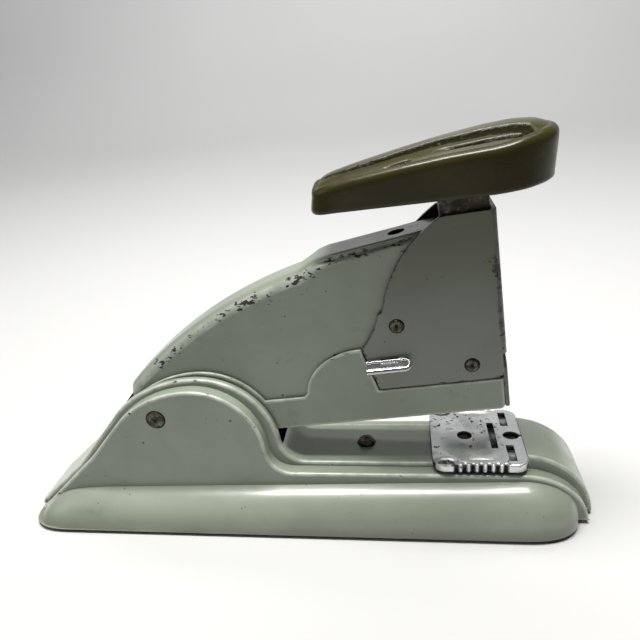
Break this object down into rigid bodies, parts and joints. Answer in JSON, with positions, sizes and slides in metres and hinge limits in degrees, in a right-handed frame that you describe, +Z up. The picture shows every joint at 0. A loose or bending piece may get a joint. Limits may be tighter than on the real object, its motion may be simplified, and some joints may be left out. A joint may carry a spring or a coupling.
{
  "type": "plunger desk stapler",
  "caption": "Heavy desk stapler: green painted metal body, palm plunger with olive plastic handle, chromed clinching anvil, side latch for loading.",
  "frame": {"origin": "middle of the base's footprint, on the surface it stands on", "axes": "+X towards the nose, +Y across, +Z up"},
  "size_m": [0.19, 0.0534, 0.122],
  "materials": {
    "green_paint": "worn semi-gloss enamel, chipped along the edges",
    "black_pad": "matte",
    "dark_rivet": "tarnished",
    "chrome_plate": "worn plating",
    "olive_plastic": "polished moulding",
    "brass_insert": "machined",
    "staple_wire": "bright wire",
    "spring_steel": "satin",
    "bare_steel": "mottled bare steel"
  },
  "bodies": {
    "base": {"base_casting": "green_paint", "base_pad": "black_pad", "pivot_pin": "dark_rivet", "pivot_bushing": "bare_steel", "deck_rivet": "dark_rivet", "anvil_spring": "spring_steel", "lift_spring": "spring_steel"},
    "anvil": {"anvil_plate": "chrome_plate", "anvil_stem": "bare_steel"},
    "magazine": {"magazine_channel": "green_paint", "nose_plate": "green_paint", "staple_rail": "bare_steel", "staple_strip": "staple_wire", "follower_rod": "bare_steel", "rod_bracket": "bare_steel", "follower_spring": "spring_steel", "latch_catch": "bare_steel"},
    "follower": {"follower": "bare_steel"},
    "arm": {"arm_cover": "green_paint", "head_housing": "green_paint", "rear_rivet": "dark_rivet", "front_rivet": "dark_rivet", "spring_seat": "bare_steel", "return_spring": "spring_steel", "latch_spring": "spring_steel"},
    "latch": {"latch_lever": "chrome_plate"},
    "plunger": {"plunger": "bare_steel", "driver_blade": "bare_steel", "handle": "olive_plastic", "handle_insert": "brass_insert", "handle_screw": "bare_steel"}
  },
  "joints": [
    {"name": "magazine_hinge", "type": "hinge", "parent": "base", "child": "magazine", "pos_m": [-0.0433, 0, 0.038], "axis": [0, -1, 0], "range_deg": [-8, 0], "stiffness_Nm_per_rad": 1.5, "springref_deg": 17.19, "deforming": ["lift_spring"]},
    {"name": "arm_hinge", "type": "hinge", "parent": "magazine", "child": "arm", "pos_m": [-0.0433, 0, 0.038], "axis": [0, -1, 0], "range_deg": [0, 75]},
    {"name": "plunger_slide", "type": "slide", "parent": "arm", "child": "plunger", "axis": [-0.1045, 0, 0.9945], "range_m": [-0.01, 0], "stiffness_N_per_m": 600, "springref_m": 0.012, "deforming": ["return_spring"]},
    {"name": "latch_hinge", "type": "hinge", "parent": "arm", "child": "latch", "pos_m": [0.0344, 0, 0.06598], "axis": [0, -1, 0], "range_deg": [0, 12], "stiffness_Nm_per_rad": 0.02, "springref_deg": -17.19},
    {"name": "follower_slide", "type": "slide", "parent": "magazine", "child": "follower", "axis": [0.9945, 0, 0.1045], "range_m": [-0.046, 0], "stiffness_N_per_m": 40, "springref_m": 0.06, "deforming": ["follower_spring"]},
    {"name": "anvil_slide", "type": "slide", "parent": "base", "child": "anvil", "axis": [1, 0, 0], "range_m": [-0.0047, 0]}
  ]
}
